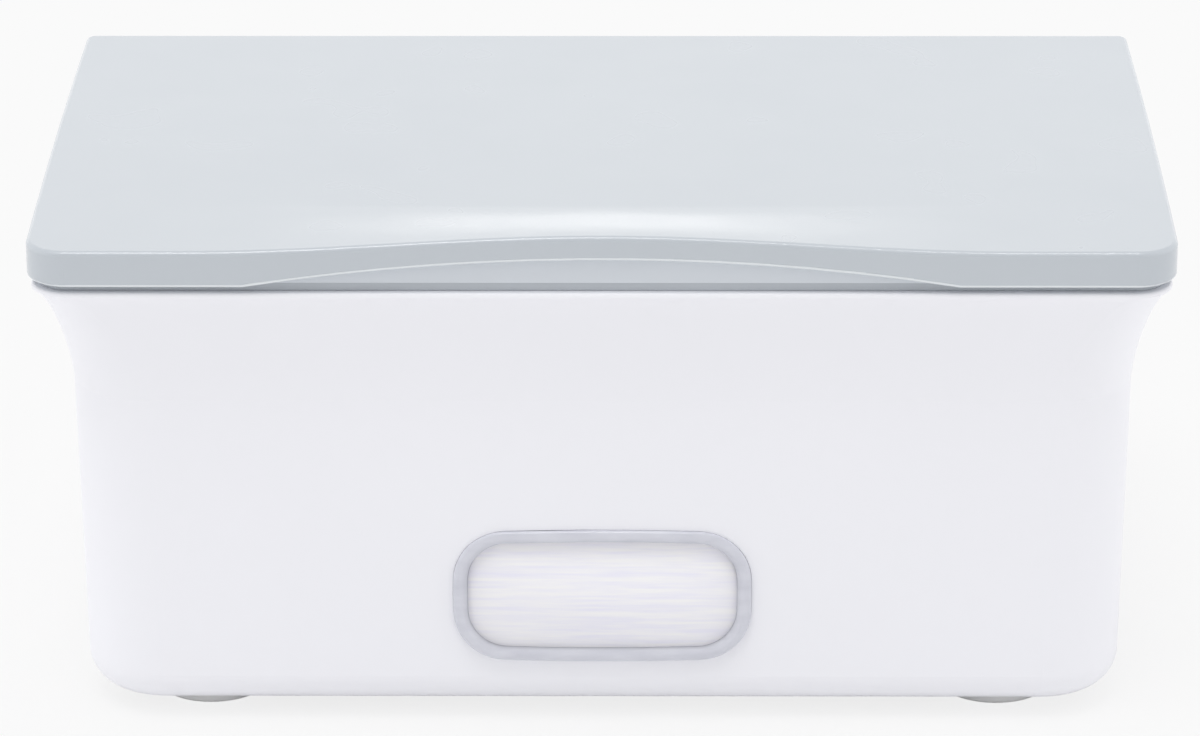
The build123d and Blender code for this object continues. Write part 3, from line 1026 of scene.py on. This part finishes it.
@dataclass
class Feet:
    """Four soft pads, each with a peg in the tub's floor and rings on its sole.

    Attributes:
        facets: Number of the round pad's sides.
        peg_radius_mm: Radius of the peg.
        peg_length_mm: Length of the peg.
        edge_mm: Radius of the pad's lower edge.
        crown_mm: Small bevel where the pad meets the tub.
        ring_mm: Width of each ring on the sole.
        ring_depth_mm: Depth of the grooves between them.
        ring_count: Number of rings.
    """

    facets: int = 72
    peg_radius_mm: float = 3.0
    peg_length_mm: float = 1.7
    edge_mm: float = 0.8
    crown_mm: float = 0.15
    ring_mm: float = 1.3
    ring_depth_mm: float = 0.4
    ring_count: int = 3

    def build(self, frame: Frame) -> None:
        """Models one pad and copies it to the four corners.

        Args:
            frame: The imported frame.
        """
        names = [f"foot_{corner}" for corner in CORNERS]
        low, high = frame.box(names[0])
        radius = (high.x - low.x) / 2
        height = high.z - low.z - self.peg_length_mm * MM
        first = self.pad(radius, height)
        for name in names:
            low, high = frame.box(name)
            foot = twin(first)
            stand(foot, Vector(((low.x + high.x) / 2, (low.y + high.y) / 2, low.z)))
            foot.data.materials.append(frame.material(FOOT_RUBBER))
            frame.hand_over(foot, f"{name}_pad", Body.TUB, name)
        bpy.data.objects.remove(first)

    def pad(self, radius: float, height: float) -> Piece:
        """Shapes a pad that stands on the bench's origin.

        Args:
            radius: Radius of the pad.
            height: Height of the pad without its peg.

        Returns:
            The pad.
        """
        at = (0, 0, height / 2)
        bpy.ops.mesh.primitive_cylinder_add(vertices=self.facets, radius=radius, depth=height, location=at)
        foot = bpy.context.object
        settle()
        open_mesh()
        pick(Pick.FACES, lambda at, way: near(at.z, height) and way.z > ALONG)
        bpy.ops.mesh.inset(thickness=radius - self.peg_radius_mm * MM)
        extrude(self.peg_length_mm * MM)
        pick(Pick.EDGES, lambda at, way: near(at.z, 0))
        bpy.ops.mesh.bevel(offset=self.edge_mm * MM, segments=5)
        pick(Pick.EDGES, lambda at, way: near(at.z, height) and at.xy.length > MOSTLY * radius)
        bpy.ops.mesh.bevel(offset=self.crown_mm * MM, segments=2)
        pick(Pick.FACES, lambda at, way: near(at.z, 0) and way.z < -ALONG)
        ring, depth = self.ring_mm * MM, self.ring_depth_mm * MM
        for _ in range(self.ring_count):
            bpy.ops.mesh.inset(thickness=ring)
            bpy.ops.mesh.inset(thickness=depth / 2, depth=-depth)
            bpy.ops.mesh.inset(thickness=ring / 2)
            bpy.ops.mesh.inset(thickness=depth / 2, depth=depth)
        close_mesh()
        return foot


@dataclass
class Tub:
    """Flared tub with its window and feet."""

    window: Window
    feet: Feet

    def build(self, frame: Frame) -> None:
        """Dresses the shell and builds what is set in it.

        Args:
            frame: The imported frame.
        """
        frame.dress(TUB_PLASTIC, "tub_shell")
        self.window.build(frame)
        self.feet.build(frame)


# Lid with its liner and seal, and the hinge


@dataclass
class Lid:
    """Cover with a raised lip and a finger arch, over a liner painted paler as painted light, with a soft
    seal, and a bead whose paler colour is a painted highlight.

    Attributes:
        seal_round_mm: Radius that rounds the seal's sealing edge.
        seal_reach_mm: How far the sealing edge reaches down to the tub's rim.
        bead_mm: Radius of the bead along the skirt's lower edge.
        bead_drop_mm: How far the bead's middle lies under the edge's upper end.
        bead_stop_mm: How far in front of the lid's back the bead ends.
        skirt_edge_mm: Radius that the skirt's lower edge has under the bead.
        seam_mm: Height of the skirt's lower edge above the seal's sealing edge.
        arch_half_span_mm: Half the width of the finger arch.
        arch_rise_mm: Height of the finger arch.
    """

    seal_round_mm: float = 0.2
    seal_reach_mm: float = 0.17
    bead_mm: float = 0.45
    bead_drop_mm: float = 0.28
    bead_stop_mm: float = 4.0
    skirt_edge_mm: float = 0.5
    seam_mm: float = 1.5
    arch_half_span_mm: float = 69.1
    arch_rise_mm: float = 5.7

    def build(self, frame: Frame) -> None:
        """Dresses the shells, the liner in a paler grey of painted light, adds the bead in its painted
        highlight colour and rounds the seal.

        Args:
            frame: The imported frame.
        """
        frame.dress(LID_PLASTIC, "lid_cover")
        # Painted light: the liner's paler grey stands for the light that its thin wall lets through.
        frame.dress(LINER_PLASTIC_PAINTED_LIGHT, "lid_liner")
        self.bead(frame)
        self.seal(frame)

    def bead(self, frame: Frame) -> None:
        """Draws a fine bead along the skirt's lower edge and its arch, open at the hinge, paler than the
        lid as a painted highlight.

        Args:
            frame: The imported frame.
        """
        low, high = frame.box("lid_cover")
        radius = self.bead_mm * MM
        sharp = frame.merge_mm * MM
        line = frame.box("lid_seal")[0].z + (self.seam_mm + self.skirt_edge_mm) * MM
        crown = line + self.arch_rise_mm * MM
        reach = self.arch_half_span_mm * MM
        stop = high.y - self.bead_stop_mm * MM

        def lowest(at: Vector, way: Vector) -> bool:
            """Says whether an edge is part of the level lower edge, or of the arch in the front.

            Args:
                at: Middle of the edge.
                way: Direction of the edge.

            Returns:
                Whether it is.
            """
            level = near(at.z, line, sharp) and abs(way.z) < 1 - ALONG and at.y < stop
            arched = abs(at.x) < reach and at.z < crown and abs(way.x) > MOSTLY
            return level or (near(at.y, low.y, sharp) and arched)

        frame.edges_of("lid_cover", lowest)
        bpy.ops.object.convert(target="CURVE")
        path = bpy.context.object.data
        path.bevel_depth = radius
        path.bevel_resolution = 3
        path.use_fill_caps = True
        bpy.ops.object.convert(target="MESH")
        bead = bpy.context.object
        bead.scale = (1 - radius / high.x, 1 + radius / low.y, 1.0)
        stand(bead, Vector((0, 0, -self.bead_drop_mm * MM)))
        # Painted highlight: the bead is paler than the lid, so a bright line shows along the edge.
        bead.data.materials.append(frame.material(BEAD_PLASTIC_PAINTED_HIGHLIGHT))
        frame.hand_over(bead, "lid_bead_painted_highlight", Body.LID, None)

    def seal(self, frame: Frame) -> None:
        """Makes the seal from a copy of its node, with its sealing edge rounded and let down.

        Args:
            frame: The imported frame.
        """
        drop = self.seal_reach_mm * MM
        bottom = frame.box("lid_seal")[0].z
        ring = frame.merged_copy("lid_seal")
        ring.data.materials.clear()
        ring.data.materials.append(frame.material(SEAL_RUBBER))
        open_mesh()
        pick(Pick.POINTS, lambda at, way: near(at.z, bottom))
        bpy.ops.transform.translate(value=(0, 0, -drop))
        pick(Pick.EDGES, lambda at, way: near(at.z, bottom - drop) and abs(way.z) < 1 - ALONG)
        bpy.ops.mesh.bevel(offset=self.seal_round_mm * MM, segments=3)
        close_mesh()
        frame.hand_over(ring, "lid_seal_moulded", Body.LID, "lid_seal", smooth_deg=50.0)


class Hinge:
    """Two steel pins through the tub's ears and the lid's knuckles."""

    def build(self, frame: Frame) -> None:
        """Dresses the pins."""
        frame.dress(STEEL, *(f"hinge_pin_{side}" for side in SIDES))


# What the tub holds


class Plate:
    """Weighted plate with a domed slot, on the stack of wipes."""

    def build(self, frame: Frame) -> None:
        """Dresses the two shells, the bars and the screws.

        Args:
            frame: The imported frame.
        """
        frame.dress(PLATE_PLASTIC, "plate_cover", "plate_base")
        frame.dress(STEEL, *(f"plate_weight_{side}" for side in SIDES))
        frame.dress(STEEL, *(f"plate_screw_{corner}" for corner in CORNERS))


@dataclass
class WipesPile:
    """Folded wipes, one soft packet on the other, which sink as they are used.

    Attributes:
        count: Number of folded packets.
        fold_share: Radius of a fold's nose as a share of its packet's height.
        end_share: Radius of a packet's ends as a share of its height.
        cuts: Number of cuts across a packet, which let it wave.
        ruffle_mm: How far the cloth strays from flat.
        shift_mm: How far a packet slips from the one below.
        sway: How far that slip turns from packet to packet along X and Y, in radians.
        press: How much of its height a packet keeps when it lies in the pile.
        keep: Share of the pile's height that is left when the plate has sunk; not used.
        seed: Start of the packets' uneven lie.
    """

    count: int = 24
    fold_share: float = 0.46
    end_share: float = 0.125
    cuts: int = 14
    ruffle_mm: float = 0.22
    shift_mm: float = 0.35
    sway: Range = (2.4, 1.7)
    press: float = 0.97
    keep: float = 0.224
    seed: int = 7

    def build(self, frame: Frame) -> None:
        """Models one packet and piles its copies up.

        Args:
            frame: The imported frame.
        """
        low, high = frame.box("wipes_stack")
        slip = self.shift_mm * MM
        room = (self.ruffle_mm + self.shift_mm) * MM
        width, depth = high.x - low.x - 2 * room, high.y - low.y - 2 * room
        height = (high.z - low.z) / self.count
        first = self.packet(width, depth, height * self.press)
        packets = []
        for layer in range(self.count):
            packet = twin(first)
            across = slip * math.sin(self.sway[0] * layer + self.seed)
            along = slip * math.cos(self.sway[1] * layer + self.seed)
            stand(packet, Vector((across, along, low.z + height * (layer + 0.5))))
            if 0 < layer < self.count - 1:
                self.ruffle(self.seed + layer)
            packets.append(packet)
        bpy.data.objects.remove(first)
        take_up(*packets)
        bpy.ops.object.join()
        pile = packets[0]
        pile.data.materials.append(frame.material(WIPES_CLOTH))
        frame.hand_over(pile, "wipes_pile", Body.TUB, "wipes_stack", smooth_deg=60.0)
        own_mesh(pile)

    def packet(self, width: float, depth: float, height: float) -> Piece:
        """Shapes one folded packet, round at its front and back folds, at the bench's origin.

        Args:
            width: Width of the packet.
            depth: Depth of the packet.
            height: Height of the packet.

        Returns:
            The packet.
        """
        bpy.ops.mesh.primitive_cube_add(size=1.0, scale=(width, depth, height))
        settle()
        open_mesh()
        pick(Pick.EDGES, lambda at, way: abs(way.x) > ALONG)
        bpy.ops.mesh.bevel(offset=self.fold_share * height, segments=4)
        pick(Pick.EDGES, lambda at, way: near(abs(at.x), width / 2))
        bpy.ops.mesh.bevel(offset=self.end_share * height, segments=2)
        for cut in range(1, self.cuts + 1):
            bpy.ops.mesh.select_all(action="SELECT")
            across = width * (cut / (self.cuts + 1) - 0.5)
            bpy.ops.mesh.bisect(plane_co=(across, 0, 0), plane_no=(1, 0, 0))
        close_mesh()
        return bpy.context.object

    def ruffle(self, seed: int) -> None:
        """Lets the folds of the packet that is taken up stray a little.

        Args:
            seed: Start of its random moves.
        """
        open_mesh()
        bpy.ops.mesh.select_all(action="SELECT")
        bpy.ops.transform.vertex_random(offset=self.ruffle_mm * MM, uniform=0.0, normal=0.0, seed=seed)
        close_mesh()


# Studio


@dataclass(frozen=True)
class Studio:
    """Pale floor, plain soft light and the camera.

    Attributes:
        floor_size: Side of the floor.
        floor_colour: Colour of the floor, sRGB hex.
        floor_shade: Share of the floor's own light and shadow that the camera sees.
        backdrop_colour: What the camera sees of floor and backdrop, sRGB hex.
        sky_base: Light from the horizon, where 1 shows a colour as written.
        sky_rise: How much more comes from overhead.
        sky_flank: How much more comes from the left and right.
        sky_back: How much more comes from the white backdrop behind.
        back_power: How fast that light fades away from straight behind.
        sky_low: How much more comes from right above the horizon.
        low_power: How fast that low light fades upwards.
        key_strength: Strength of the broad lamp.
        key_spread_deg: How broad that lamp is.
        key_tilt_deg: How far it leans from straight overhead to the front.
        key_turn_deg: How far it turns to the left.
        camera_place_mm: Place of the camera.
        camera_pitch_deg: How far the camera looks down.
        camera_yaw_deg: How far it looks to the left.
        camera_roll_deg: How far its right side drops.
        lens_mm: Focal length.
        sensor_mm: Width of the sensor.
    """

    floor_size: float = 12.0
    floor_colour: str = "#F2F2F2"
    floor_shade: float = 0.16
    backdrop_colour: str = "#FAFAFA"
    sky_base: float = 0.22
    sky_rise: float = 0.56
    sky_flank: float = 0.78
    sky_back: float = 0.84
    back_power: float = 4.0
    sky_low: float = 0.50
    low_power: float = 6.0
    key_strength: float = 0.88
    key_spread_deg: float = 24.0
    key_tilt_deg: float = 15.0
    key_turn_deg: float = 20.0
    camera_place_mm: Triple = (10.0, -1088.5, 492.6)
    camera_pitch_deg: float = 22.0
    camera_yaw_deg: float = 0.574
    camera_roll_deg: float = 0.17
    lens_mm: float = 171.84
    sensor_mm: float = 36.0

    def build(self) -> None:
        """Adds the floor, the light and the camera."""
        self.add_floor()
        self.add_sky()
        self.add_key()
        self.add_camera()
        log.info("set the studio")

    def open_light(self) -> float:
        """Works out the light on open, level ground.

        Each part of the sky counts with its mean over the upper half, weighed by its height.

        Returns:
            The light, where 1 shows a colour as written.
        """
        low = 2 / ((self.low_power + 1) * (self.low_power + 2))
        half = self.back_power / 2
        spread = math.sqrt(math.pi) * (self.back_power + 2)
        back = math.gamma(half + 0.5) / (math.gamma(half + 1) * spread)
        sky = self.sky_base + self.sky_rise * 2 / 3 + self.sky_flank / 4
        sky += self.sky_low * low + self.sky_back * back
        return sky + self.key_strength * math.cos(math.radians(self.key_tilt_deg)) / math.pi

    def finish_view(self, tree: Tree, real: bpy.types.Node, seen: bpy.types.Node, output: str) -> None:
        """Ends a tree with one shader for the light and another for the camera.

        Args:
            tree: Node tree of the floor or the sky.
            real: Shader that light meets.
            seen: Shader that the camera sees, straight or through clear plastic.
            output: Blender's name for the output node's type.
        """
        path = add_node(tree, "ShaderNodeLightPath").outputs
        inputs = {0: path["Is Camera Ray"], 1: path["Is Transmission Ray"]}
        shown = add_node(tree, "ShaderNodeMath", inputs, operation="MAXIMUM")
        inputs = {0: shown.outputs[0], 1: real.outputs[0], 2: seen.outputs[0]}
        mix = add_node(tree, "ShaderNodeMixShader", inputs)
        add_node(tree, output, {"Surface": mix.outputs[0]})

    def add_floor(self) -> None:
        """Lays a plain floor that the camera sees at the backdrop's level, with the shadow kept."""
        bpy.ops.mesh.primitive_plane_add(size=self.floor_size)
        floor = bpy.context.object
        floor.name = "floor"
        material, tree = new_material("painted_board_pale")
        paint = add_node(tree, "ShaderNodeBsdfDiffuse", {"Color": linear(self.floor_colour)})
        backdrop = linear(self.backdrop_colour)
        albedo = backdrop[0] * self.floor_shade / self.open_light()
        shade = add_node(tree, "ShaderNodeBsdfDiffuse", {"Color": (albedo, albedo, albedo, 1.0)})
        glow = add_node(tree, "ShaderNodeEmission", {"Color": backdrop, "Strength": 1 - self.floor_shade})
        seen = add_node(tree, "ShaderNodeAddShader", {0: shade.outputs[0], 1: glow.outputs[0]})
        self.finish_view(tree, paint, seen, "ShaderNodeOutputMaterial")
        floor.data.materials.append(material)

    def add_sky(self) -> None:
        """Makes a soft sky, plain to the camera, brighter above, at the sides, behind and low down."""
        world = bpy.data.worlds.new("studio_sky")
        bpy.context.scene.world = world
        world.use_nodes = True
        tree = world.node_tree
        tree.nodes.clear()
        way = add_node(tree, "ShaderNodeTexCoord").outputs["Generated"]
        x, y, z = add_node(tree, "ShaderNodeSeparateXYZ", {"Vector": way}).outputs
        inputs = {"Value": z, "To Min": self.sky_base, "To Max": self.sky_base + self.sky_rise}
        upper = add_node(tree, "ShaderNodeMapRange", inputs)
        square = add_node(tree, "ShaderNodeMath", {0: x, 1: x}, operation="MULTIPLY")
        inputs = {0: square.outputs[0], 1: self.sky_flank, 2: upper.outputs["Result"]}
        flanks = add_node(tree, "ShaderNodeMath", inputs, operation="MULTIPLY_ADD")
        rear = add_node(tree, "ShaderNodeMath", {0: y, 1: 0.0}, operation="MAXIMUM")
        inputs = {0: rear.outputs[0], 1: self.back_power}
        behind = add_node(tree, "ShaderNodeMath", inputs, operation="POWER")
        inputs = {0: behind.outputs[0], 1: self.sky_back, 2: flanks.outputs[0]}
        back = add_node(tree, "ShaderNodeMath", inputs, operation="MULTIPLY_ADD")
        under = add_node(tree, "ShaderNodeMath", {0: 1.0, 1: z}, operation="SUBTRACT", use_clamp=True)
        inputs = {0: under.outputs[0], 1: self.low_power}
        low = add_node(tree, "ShaderNodeMath", inputs, operation="POWER")
        inputs = {0: low.outputs[0], 1: self.sky_low, 2: back.outputs[0]}
        level = add_node(tree, "ShaderNodeMath", inputs, operation="MULTIPLY_ADD")
        inputs = {"Color": (1.0, 1.0, 1.0, 1.0), "Strength": level.outputs[0]}
        light = add_node(tree, "ShaderNodeBackground", inputs)
        seen = add_node(tree, "ShaderNodeBackground", {"Color": linear(self.backdrop_colour)})
        self.finish_view(tree, light, seen, "ShaderNodeOutputWorld")

    def add_key(self) -> None:
        """Hangs one very broad lamp over the front."""
        data = bpy.data.lights.new("broad_lamp", "SUN")
        data.energy = self.key_strength
        data.angle = math.radians(self.key_spread_deg)
        lamp = bpy.data.objects.new("broad_lamp", data)
        lamp.rotation_euler = (math.radians(self.key_tilt_deg), 0.0, math.radians(-self.key_turn_deg))
        bpy.context.scene.collection.objects.link(lamp)

    def add_camera(self) -> None:
        """Sets the camera at the photograph's viewing angle."""
        data = bpy.data.cameras.new("camera")
        data.lens = self.lens_mm
        data.sensor_width = self.sensor_mm
        data.sensor_fit = "HORIZONTAL"
        camera = bpy.data.objects.new("camera", data)
        camera.location = Vector(self.camera_place_mm) * MM
        bpy.context.scene.collection.objects.link(camera)
        pitch = Matrix.Rotation(math.radians(90 - self.camera_pitch_deg), 4, "X")
        yaw = Matrix.Rotation(math.radians(self.camera_yaw_deg), 4, "Z")
        roll = Matrix.Rotation(math.radians(-self.camera_roll_deg), 4, "Z")
        camera.rotation_euler = (yaw @ pitch @ roll).to_euler()
        bpy.context.scene.camera = camera


def main() -> None:
    """Builds the looks round the frame."""
    logging.basicConfig(level=logging.INFO, format="%(name)s: %(message)s")
    bpy.context.scene.view_settings.view_transform = "Standard"
    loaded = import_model()
    frame = Frame(nodes=loaded["nodes"], materials={})
    for assembly in (Tub(Window(), Feet()), Lid(), Hinge(), Plate(), WipesPile()):
        assembly.build(frame)
    Studio().build()


if __name__ == "__main__":
    main()
